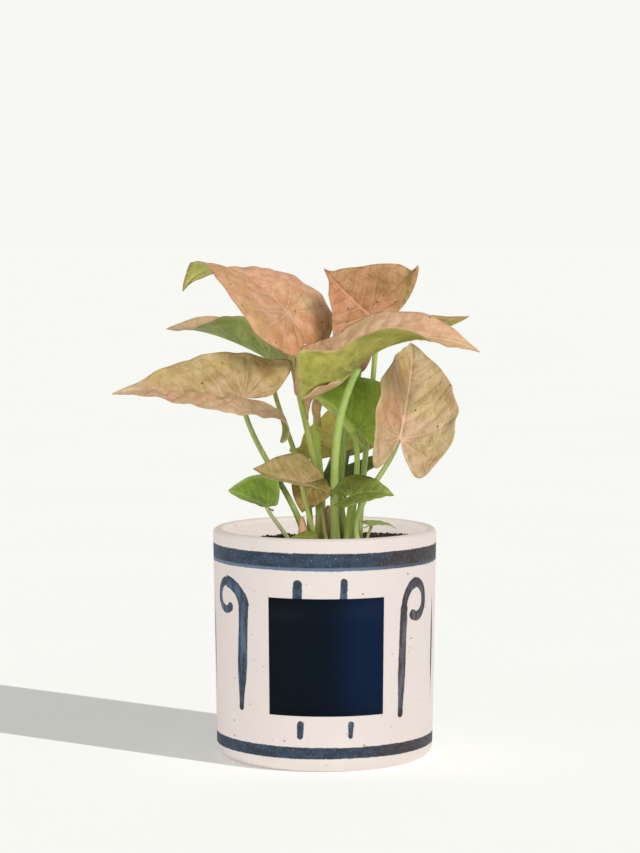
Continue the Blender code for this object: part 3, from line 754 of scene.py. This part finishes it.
def weld(mesh, closed):
    """Merge a mesh's doubles, turn a closed one's faces outwards, and shade it smooth."""
    bm = bmesh.new()
    bm.from_mesh(mesh)
    bmesh.ops.remove_doubles(bm, verts=bm.verts, dist=0.01 * MM)
    if closed:
        bmesh.ops.recalc_face_normals(bm, faces=bm.faces)
    bm.to_mesh(mesh)
    bm.free()
    mesh.shade_smooth()


def tint_mesh(mesh, name, colours):
    """Keep a colour for every vertex of a mesh, for its finish to read by name."""
    layer = mesh.color_attributes.new(name, 'FLOAT_COLOR', 'POINT')
    layer.data.foreach_set("color", colours.ravel())


def make_blade(leaf, look):
    """A blade as a fine grid bent into its living shape, given its thickness by Solidify."""
    columns, rows = LARGE_BLADE if leaf["length"] >= LARGE_LENGTH else SMALL_BLADE
    bm = bmesh.new()
    bmesh.ops.create_grid(bm, x_segments=columns, y_segments=2 * rows, size=1.0)
    cell = np.array([vertex.co[:] for vertex in bm.verts])
    along = (1.0 - cell[:, 0]) / 2
    x, y, rim = flat_blade(leaf, along, cell[:, 1])
    points = shape_blade(leaf, x, y) @ attitude(leaf).T + np.array(leaf["at"])
    put(bm, points)
    bm.normal_update()
    normals = np.array([vertex.normal[:] for vertex in bm.verts])
    put(bm, points + normals * relief(leaf, x, y, rim)[:, None])

    mesh = bpy.data.meshes.new("blade_" + leaf["name"])
    flat = bm.loops.layers.uv.new("flat")
    shift = leaf["length"] + leaf["width"][0]
    for face in bm.faces:
        for loop in face.loops:
            k = loop.vert.index
            loop[flat].uv = ((x[k] + shift) / 100, y[k] / 100)
    bm.to_mesh(mesh)
    bm.free()
    phase, gap = side_veins(leaf, x, y)
    fade = 0.35 + 0.65 * np.exp(-(np.hypot(x - 4.0, y) / (0.7 * leaf["width"][0])) ** 2)
    lines = {"veins": np.stack([phase, gap, fade * (1.0 - 0.6 * np.abs(cell[:, 1]))], -1),
             "edges": np.stack([y, rim, 1.0 - 0.75 * np.clip(x / leaf["length"], 0, 1)], -1)}
    for name, values in lines.items():
        layer = mesh.attributes.new(name, 'FLOAT_VECTOR', 'POINT')
        layer.data.foreach_set("vector", values.ravel())
    for name, colours in painted_blade(leaf, look, x, y, rim).items():
        tint_mesh(mesh, name, colours)
    weld(mesh, closed=False)
    made = dressed(mesh, [blade_face, blade_under], ["leaf_" + leaf["name"]])
    shell = made.modifiers.new("thickness", 'SOLIDIFY')
    shell.thickness = BLADE * MM
    shell.offset = 0.0
    shell.material_offset = 1


def kept(finish, name, output="Color"):
    """What a mesh keeps for its vertices under a name."""
    return finish.node('ShaderNodeAttribute', {"attribute_name": name}, {}, output)


def vein_lines(finish, flat):
    """Veins of a blade as lines, and the millimetres to the next side vein and to the midrib."""
    phase, gap, taper = finish.split(kept(finish, "veins", "Vector"))
    off, rim, narrowing = finish.split(kept(finish, "edges", "Vector"))
    to_vein = abs((phase + 0.5).maths('FRACT') - 0.5) * gap
    to_midrib = abs(off)
    jitter = (finish.cloud(flat, 60.0) - 0.5) * 0.7
    side = (to_vein + jitter * 0.4).fall(0.1, 0.7) * taper * rim.rise(0.8, 4.0)
    along_rim = abs(rim - 2.3 + jitter).fall(0.1, 0.7) * 0.35
    midrib = (to_midrib / narrowing).fall(0.55, 1.25)
    finest = finish.cells(flat, 38.0, 'DISTANCE_TO_EDGE').fall(0.0, 0.11) * 0.2
    return side.most(midrib).most(along_rim).most(finest), to_vein, to_midrib


def blade_finish(name, tint, vein_strength, depth):
    """Skin of a blade, its colours and lines read from the blade's own attributes."""
    finish = Finish(name, {"Specular IOR Level": 0.2})
    flat = finish.node('ShaderNodeUVMap', {"uv_map": "flat"}, {})
    lines, to_vein, to_midrib = vein_lines(finish, flat)
    valley = to_vein.rise(0.0, 2.4).least(to_midrib.rise(0.2, 2.6))

    pucker = finish.cloud(flat, 18.0, 3.0, 0.5)
    # Painted shade: the hollows of the pucker relief are darkened on face and underside.
    painted_hollow_shade = pucker.fall(0.3, 0.55)
    patches = finish.cloud(flat, 6.0, 4.0, 0.6).rise(0.42, 0.62)
    grain = finish.cloud(flat, 70.0, 4.0)
    mottle = finish.cloud(flat, 13.0, 3.0, 0.55).fall(0.36, 0.64)
    base = kept(finish, tint)
    if tint == "face":
        # Painted shade together with the leaf's own flush: the fleck colour darkens the face
        # beside the sunken side veins and the midrib.
        beside = to_vein.fall(0.4, 2.6).most(to_midrib.fall(0.5, 3.0))
        drift = finish.cloud(flat, 3.5, 2.0, 0.5).rise(0.38, 0.62)
        drift = finish.mix("f2f6c8", "ffece4", drift)
        base = finish.mix(base, drift, 0.6, 'MULTIPLY')
        base = finish.mix(base, kept(finish, "fleck"), patches * 0.42)
        base = finish.mix(base, "ccb892", mottle * 0.2, 'MULTIPLY')
        base = finish.mix(base, kept(finish, "fleck"), beside * 0.12)
        flush = finish.cloud(flat, 9.0, 3.0, 0.4).rise(0.48, 0.68)
        base = finish.mix(base, kept(finish, "vein"), flush * 0.4)
        # Painted shade in the pucker hollows of the face.
        base = finish.mix(base, "cc9e84", painted_hollow_shade * 0.3, 'MULTIPLY')
        ridge = kept(finish, "vein")
    else:
        base = finish.mix(base, "b2c690", patches * 0.5, 'MULTIPLY')
        base = finish.mix(base, "b0be88", mottle * 0.25, 'MULTIPLY')
        # Painted shade in the pucker hollows of the underside.
        base = finish.mix(base, "c4c8a0", painted_hollow_shade * 0.4, 'MULTIPLY')
        ridge = finish.mix(base, "e9eeae", 0.42)
    shade = finish.mix("cfcfcf", "ffffff", grain * 1.3)
    base = finish.mix(base, shade, 0.45, 'MULTIPLY')
    base = finish.mix(base, ridge, lines * vein_strength)
    if tint == "face":
        freckles = finish.specks(flat, 130.0, 7.0, 0.2, '2D') * 0.85
        base = finish.mix(base, "3a2c18", freckles)
    finish.give("Base Color", base)
    finish.give("Roughness", 0.5 + grain * 0.12)
    height = valley * 0.16 + pucker * 1.1 + grain * 0.15 + lines * 0.12
    finish.bump(height, depth, 0.85)
    return finish


blade_face = blade_finish("blade face", "face", 0.6, 1.5)
blade_under = blade_finish("blade underside", "under", 0.42, 0.9)
for leaf in UPPER_LEAVES:
    make_blade(leaf, UPPER_LOOKS[leaf["name"]])

# ==== Middle storey of leaves ====================================================================
# Four blades among the stalks: a mature one hanging at the right, two folded green ones in the
# middle and at the back, and a narrow young one just unrolled.

MIDDLE_LEAVES = [
    arrowhead("hanging_right", (43, -22, 187), 76, (36, 37), (27, 26), (16, 17), (70, 57, 55),
        (19, 43), (21, 46), 23, tip_droop=11, lobe_droop=(7, 0), sweep=-11, twist=-8, acumen=0.17,
        wave=1.3, relief=0.65, root=(19, -10), stalk=(1.8, 1.4), leave=(-7, -3), arrive=(-5, 11)),
    arrowhead("centre", (18, -8, 189), 39, (34, 17), (12, 12), (6, 6), (178, 53, 48), (52, 30),
        (5, 5), 26, tip_droop=54, lobe_droop=(13, 11), twist=9, acumen=0.22, root=(15, -3),
        stalk=(1.8, 1.5), leave=(1, -1), arrive=(3, -5)),
    arrowhead("back_centre", (5, 52, 170), 60, (21, 24), (10, 10), (23, 28), (86, 35, -9),
        (19, 19), (11, 4), 1, lobe_droop=(-15, 1), sweep=-4, twist=-5, acumen=0.09, shoulder=0.23,
        root=(0, 20), stalk=(1.8, 1.5), leave=(-6, 8), arrive=(-7, -5)),
    arrowhead("young_narrow", (-4, 20, 210), 31, (15, 16), (17, 22), (6, 6), (29, 40, -4), (6, 10),
        (-2, -24), 4, tip_droop=-16, lobe_droop=(74, 75), twist=25, acumen=0.19, root=(-4, 1),
        stalk=(2.3, 1.8), leave=(7, 4), arrive=(-5, -5))]

MIDDLE_LOOKS = dict(
    hanging_right=(("c7ad87", "d6c5a4"), "ceba95", ("b8a380", "d0bd9a"), "c3a897", "c5b38a",
        ("8e8c48", "848a40"), "e6bfaa", "a79766", (30, -20, 13, "d3bd8c"), (44, 10, 10, "bfae6c"),
        (12, 12, 10, "c89580"), (4, 20, 7, "b48a62")),
    centre=("a2bc56", "b7d06d", "8ba246", "93aa4b", "cbe281", ("a0b841", "dbe87c"), "d0ea89",
        "849d3c"),
    back_centre=(("bfb860", "babf64"), "d1b964", ("bab55a", "b1b558"), "b1a262", "d9c171",
        ("7c8038", "747c36"), "ead77e", "a9a850"),
    young_narrow=(("f4c790", "e1ba85"), "f2c78d", ("ffd4a6", "daba7d"), "dcb581", "c4a070",
        ("bca468", "b09a60"), "b29a6c", "82743e"))

for leaf in MIDDLE_LEAVES:
    make_blade(leaf, MIDDLE_LOOKS[leaf["name"]])

# ==== Lower storey and seedling leaves ===========================================================
# Small, thin juvenile blades on short stalks, and two seedling leaves close to the soil.

LOWER_LEAVES = [
    arrowhead("low_front", (-13, -34, 162), 30, (20, 21), (22, 13), (9, 9), (194, 14, -25),
        (15, 20), (18, 8), -5, tip_droop=-8, lobe_droop=(8, 2), twist=-17, acumen=0.22,
        shoulder=0.05, root=(-5, -15), stalk=(1.5, 1.2), leave=(-3, -4), arrive=(2, 7)),
    arrowhead("low_right", (15, -36, 155), 25, (17, 17), (10, 10), (8, 8), (-6, 18, 12), (26, -4),
        (-1, 2), 34, tip_droop=3, lobe_droop=(2, 2), sweep=-3, twist=8, acumen=0.19,
        root=(12, -17), stalk=(1.6, 1.3), leave=(1, -4), arrive=(-1, 7)),
    arrowhead("low_left", (-33, -20, 147), 25, (24, 24), (5, 3), (7, 7), (166, 27, 39), (16, 21),
        (4, 10), 10, lobe_droop=(14, -35), sweep=-7, twist=19, acumen=0.23, shoulder=0.13,
        root=(-20, -9), stalk=(1.3, 1.1), leave=(-4, -3), arrive=(3, 3)),
    arrowhead("small_bronze", (-6, -12, 159), 18, (16, 16), (6, 6), (5, 5), (193, -57, -31),
        (2, 11), (0, 2), 12, tip_droop=19, lobe_droop=(9, 10), sweep=5, twist=-10, acumen=0.22,
        shoulder=0.08, root=(1, -14), stalk=(1.2, 1.0), leave=(-2, 0), arrive=(5, 3)),
    arrowhead("low_back_right", (13, 36, 157), 27, (14, 15), (8, 8), (6, 6), (14, 32, 17), (7, 16),
        (-9, 8), 0, tip_droop=-19, lobe_droop=(10, 10), sweep=4, twist=23, acumen=0.2,
        root=(8, 12), stalk=(1.3, 1.0), leave=(1, 5), arrive=(-1, -8)),
    arrowhead("low_back_dark", (5, 24, 156), 28, (10, 10), (4, 4), (4, 4), (62, 56, -19), (16, 9),
        (6, 8), 18, tip_droop=20, lobe_droop=(10, 10), sweep=-2, twist=15, acumen=0.22,
        root=(4, 7), stalk=(1.2, 1.0), leave=(0, 4), arrive=(2, -4)),
    arrowhead("soil_left", (-7, -31, 130), 14, (6, 6), (3, 3), (3, 3), (189, 10, -26), (10, 9),
        (5, 3), 25, tip_droop=3, lobe_droop=(10, 10), twist=-2, root=(-10, -29), stalk=(1.0, 0.8),
        leave=(1, 0), arrive=(-1, 1)),
    arrowhead("soil_right", (27, -8, 135), 15, (5, 5), (5, 5), (6, 6), (2, 10, 7), (14, 8), (6, 2),
        29, tip_droop=20, lobe_droop=(6, 9), twist=2, root=(24, -5), stalk=(0.9, 0.8),
        leave=(1, -1), arrive=(-1, 1))]

LOWER_LOOKS = dict(
    low_front=(("b2a46f", "998a5b"), "b3a271", ("877549", "947a52"), "b69a73", "928a56",
        ("8c8a48", "848442"), "c8a284", "8a7f4a"),
    low_right=(("839035", "82943d"), "8aa24b", ("5b6e29", "65772b"), "687c32", "8b9c49",
        ("617130", "5a6a2a"), "99a660", "5a6826", (-2, 6, 8, "4e581e"), (10, 8, 8, "6a7430")),
    low_left=(("a8bd65", "9eb256"), "c2d087", ("97b14e", "8ea546"), "97ab4e", "c6d486",
        ("86a137", "afcd58"), "d7e398", "889c41"),
    small_bronze=(("a28849", "ab954f"), "beb565", "98793a", "b2a24f", "a99959",
        ("6c5c2c", "685a2a"), "d0b988", "937845"),
    low_back_right=("687a32", "728438", "5c6c2a", "62742e", "7a8a44", "56662a", "88985a",
        "566826"),
    low_back_dark=("566c26", "5e7430", "4c6020", "526824", "647a3a", "485a20", "74884a", "485c1e"),
    soil_left=("7c8331", "868e3c", "6e762c", "747c2e", "8a9044", "646c28", "98a058", "6a7228"),
    soil_right=("9aaa58", "a4b262", "8c9a4c", "92a050", "a8b468", "82904a", "b4c07c", "8a984a"))

for leaf in LOWER_LEAVES:
    make_blade(leaf, LOWER_LOOKS[leaf["name"]])

# ==== Stalks =====================================================================================
# Every blade stands on its own round, juicy stalk, thickest where it leaves the soil and drawn
# thinner towards the blade. They are streaked green, some flushed with pink or brown.

# How far a stalk ends under its blade, and how deep stalks and stem stand in the soil.
SEAT = 0.8
ROOTED = 6.0
STALK_POINTS = 26

# Colour in the soil and under the blade.
STALK_LOOKS = dict(
    top_left=("a9b254", "acb45c"), top_right=("9cab4e", "7d9a38"),
    front_right=("b4c66c", "9cb860"), back_left=("95a850", "a4aa58"),
    back_right=("a8b664", "a4b462"), left=("9cac54", "a9b870"),
    hanging_right=("a9c066", "b8bc78"), centre=("a4c062", "a9bc5c"),
    back_centre=("8fa44e", "8c9e4c"), young_narrow=("a8c454", "b4c85c"),
    low_front=("b8ca6c", "bccc72"), low_right=("9cb450", "9eb254"),
    low_left=("ccd29a", "d0d8a2"), small_bronze=("a09a50", "a49a54"),
    low_back_right=("7a9040", "869a48"), low_back_dark=("5c7430", "6a803a"),
    soil_left=("9aac48", "a4b450"), soil_right=("b8c07c", "b8c074"))


def stalk_path(leaf):
    """Straight up out of the soil, then one long bow to just under the blade."""
    root = np.array([*leaf["root"], SOIL_LEVEL + 1.0])
    join = np.array(leaf["at"], float)
    lift = np.array([0.0, 0.0, 0.35 * (join[2] - root[2])])
    low = root + lift + np.array([*leaf["leave"], 0.0])
    high = join - lift + np.array([*leaf["arrive"], 0.0])
    top = join - attitude(leaf)[:, 2] * SEAT
    t = np.linspace(0.0, 1.0, STALK_POINTS)[:, None]
    bow = (1 - t) ** 3 * root + 3 * (1 - t) ** 2 * t * low
    bow = bow + 3 * (1 - t) * t ** 2 * high + t ** 3 * top
    return np.vstack([root - np.array([0.0, 0.0, ROOTED + 1.0]), bow])


def round_stem(name, path, radii, tints, nodes):
    """Round stem along a path, as a bevelled curve made a mesh, its tints run from foot to top."""
    curve = bpy.data.curves.new(name, 'CURVE')
    curve.dimensions = '3D'
    curve.bevel_depth = MM
    curve.bevel_resolution = 5
    curve.use_fill_caps = True
    spline = curve.splines.new('POLY')
    spline.points.add(len(path) - 1)
    for point, place, radius in zip(spline.points, path, radii):
        point.co = (*(Vector(place) * MM), 1.0)
        point.radius = float(radius)
    drawn = bpy.data.objects.new(name, curve)
    mesh = bpy.data.meshes.new_from_object(drawn)
    bpy.data.objects.remove(drawn)
    weld(mesh, closed=True)
    height = np.array([vertex.co.z for vertex in mesh.vertices]) / MM
    share = (height - SOIL_LEVEL) / (path[-1][2] - SOIL_LEVEL)
    low, high = (np.array([colour(code)]) for code in tints)
    tint_mesh(mesh, "face", blend(low, high, share))
    mesh.name = name
    dressed(mesh, [stalk_skin], nodes)


def stalk_finish():
    finish = Finish("stalk skin", {"Specular IOR Level": 0.25})
    tint = kept(finish, "face")
    streaks = finish.cloud(finish.stretched(finish.place, (1, 1, 0.06)), 900.0, 3.0)
    patches = finish.cloud(finish.stretched(finish.place, (1, 1, 0.4)), 90.0, 3.0)
    pale = finish.mix(tint, "e4e2b4", 0.35)
    deep = finish.mix(tint, "5a4c1c", 0.25)
    body = finish.mix(deep, tint, patches.rise(0.25, 0.6))
    finish.give("Base Color", finish.mix(body, pale, streaks.rise(0.48, 0.75) * 0.7))
    finish.give("Roughness", 0.42 + patches * 0.12)
    finish.bump(streaks + patches * 0.4, 0.2, 0.5)
    return finish


stalk_skin = stalk_finish()
for leaf in UPPER_LEAVES + MIDDLE_LEAVES + LOWER_LEAVES:
    path = stalk_path(leaf)
    low, high = leaf["stalk"]
    share = np.linspace(0.0, 1.0, len(path) - 1)
    widths = low + (high - low) * share + 0.35 * low * np.exp(-share * 14)
    widths = widths + 0.12 * high * np.exp(-(1 - share) * 20)
    round_stem("stalk_" + leaf["name"], path, [low * 1.3, *widths], STALK_LOOKS[leaf["name"]],
               ["petiole_" + leaf["name"]])

# ==== Crown stem and young shoot =================================================================
# The short ringed stem in the middle of the clump, flushed red, and a pink shoot beside it whose
# blade is still rolled up like an umbrella.

STEM_FOOT = (2.0, -4.0)
STEM_TOP = 146.0
SHOOT_FOOT = (-12.0, -17.0, SOIL_LEVEL)
SHOOT_TOP = (-13.0, -18.0, 141.0)


def make_crown():
    heights = np.linspace(0.0, 1.0, 30)
    foot = SOIL_LEVEL - ROOTED
    path = [(*STEM_FOOT, foot + share * (STEM_TOP - foot)) for share in heights]
    rings = 0.16 * np.exp(-((heights * 5) % 1 - 0.5) ** 2 * 60)
    taper = np.clip(1.0 - (heights - 0.93) / 0.07 * 0.6, 0.4, 1.0)
    radii = (3.0 - heights + rings) * taper
    round_stem("crown", path, radii, ("c4937c", "b59a70"), ["crown_stem"])


def make_shoot():
    steps = np.linspace(0.0, 1.0, 26)
    foot, top = np.array(SHOOT_FOOT), np.array(SHOOT_TOP)
    path = [foot - (0, 0, ROOTED)] + [foot + (top - foot) * s for s in steps]
    swell = 3.3 - 0.4 * steps + 0.3 * np.sin(steps * 6.0)
    radii = [2.4, *(swell * np.sqrt(np.clip(1.02 - steps ** 2.2, 0.02, 1.0)))]
    round_stem("rolled_shoot", path, radii, ("d89c78", "e8b494"), ["young_shoot"])


make_crown()
make_shoot()

# ==== Table, light and camera ====================================================================
# A pale matte table that runs on into a white room, large soft lights from the front, and a low
# sun that reaches only the table and lays the plant's long shadow across it to the left. The
# planter has front lights of its own, which the leaves do not block, the table has a light that
# nothing blocks, and a small lamp between the stalks stands for the light that pale glaze passes
# round inside the planter. The camera stands well back and looks slightly down.

TABLE_REACH = 30.0
# Strengths of the lights; the last is a lamp, and its place is in metres.
ROOM_LIGHT = 0.36
KEY_LIGHT = 2.4
FILL_LIGHT = 1.1
POT_KEY = 1.38
POT_FILL = 0.9
LOW_SUN = 3.65
TABLE_FILL = 0.85
INNER_GLOW = 0.075
GLOW_AT = (0.0, -0.01, 0.128)


def make_table():
    finish = Finish("table top", {"Specular IOR Level": 0.0, "Roughness": 1.0})
    grain = finish.cloud(finish.place, 3.0, 2.0)
    finish.give("Base Color", finish.mix("eeefea", "f0f1ec", grain))
    bm = bmesh.new()
    bmesh.ops.create_grid(bm, x_segments=1, y_segments=1, size=TABLE_REACH)
    mesh = bpy.data.meshes.new("table")
    bm.to_mesh(mesh)
    bm.free()
    mesh.materials.append(finish.material)
    table = placed("table", mesh)
    return table


def make_sun(name, towards, strength, spread, tint=(1.0, 1.0, 1.0)):
    """Parallel light from a direction, softer the wider its spread in degrees."""
    data = bpy.data.lights.new(name, 'SUN')
    data.energy = strength
    data.angle = np.radians(spread)
    data.color = tint
    sun = placed(name, data)
    sun.rotation_euler = Vector(towards).to_track_quat('Z', 'Y').to_euler()
    return sun


def keep_to(name, made, state, *lights):
    """Keeps lights to some objects, or keeps those objects out of them."""
    linked = bpy.data.collections.new(name)
    for one in made:
        linked.objects.link(one)
    for member in linked.collection_objects:
        member.light_linking.link_state = state
    for light in lights:
        light.light_linking.receiver_collection = linked
    return linked


def make_room():
    """Even white light from all round; the camera sees the room in the table's colour."""
    world = bpy.data.worlds.new("room")
    bpy.context.scene.world = world
    room = Nodes(world)
    light = room.tree.nodes["Background"]
    room.plug(light.inputs["Color"], "ffffff")
    room.plug(light.inputs["Strength"], ROOM_LIGHT)
    seen = room.node('ShaderNodeBackground', {}, {"Color": "f7f8f3"})
    straight, mirrored = (room.node('ShaderNodeLightPath', {}, {}, ray)
                          for ray in ("Is Camera Ray", "Is Glossy Ray"))
    choice = room.node('ShaderNodeMixShader', {}, {
        "Fac": straight.most(mirrored), 1: Number(room, light.outputs[0]), 2: seen})
    room.plug(room.tree.nodes["World Output"].inputs["Surface"], choice)


def make_glow():
    """The small lamp inside the planter."""
    data = bpy.data.lights.new("inner_glow", 'POINT')
    data.energy = INNER_GLOW
    data.shadow_soft_size = 0.01
    lamp = placed("inner_glow", data)
    lamp.location = GLOW_AT
    lamp.visible_camera = False
    return lamp


table = make_table()
make_room()
ware = [pot, label]
keep_to("all_but_ware", ware + [table], 'EXCLUDE',
        make_sun("soft_key", (0.5, -0.68, 0.54), KEY_LIGHT, 26.0, (1.0, 0.99, 0.97)),
        make_sun("soft_fill", (-0.3, -0.95, 0.12), FILL_LIGHT, 30.0))
ware_lights = [make_sun("pot_key", (0.7, -0.6, 0.65), POT_KEY, 40.0),
               make_sun("pot_fill", (-0.65, -0.65, 0.45), POT_FILL, 30.0), make_glow()]
planter_alone = keep_to("planter_alone", ware, 'INCLUDE', *ware_lights)
for light in ware_lights:
    light.light_linking.blocker_collection = planter_alone
table_fill = make_sun("table_fill", (0.0, 0.0, 1.0), TABLE_FILL, 10.0)
low_sun = make_sun("low_sun", (0.81, -0.58, 0.42), LOW_SUN, 0.6)
table_alone = keep_to("table_alone", [table], 'INCLUDE', table_fill, low_sun)
table_fill.light_linking.blocker_collection = table_alone

camera = placed("camera", bpy.data.cameras.new("camera"))
camera.data.sensor_fit = 'HORIZONTAL'
camera.data.sensor_width = 36.0
camera.data.lens = 155.3
camera.location = (0.0, -1.6, 0.3117)
camera.rotation_euler = (np.radians(85.71), 0.0, np.radians(0.098))
bpy.context.scene.camera = camera
bpy.context.scene.view_settings.view_transform = 'Standard'
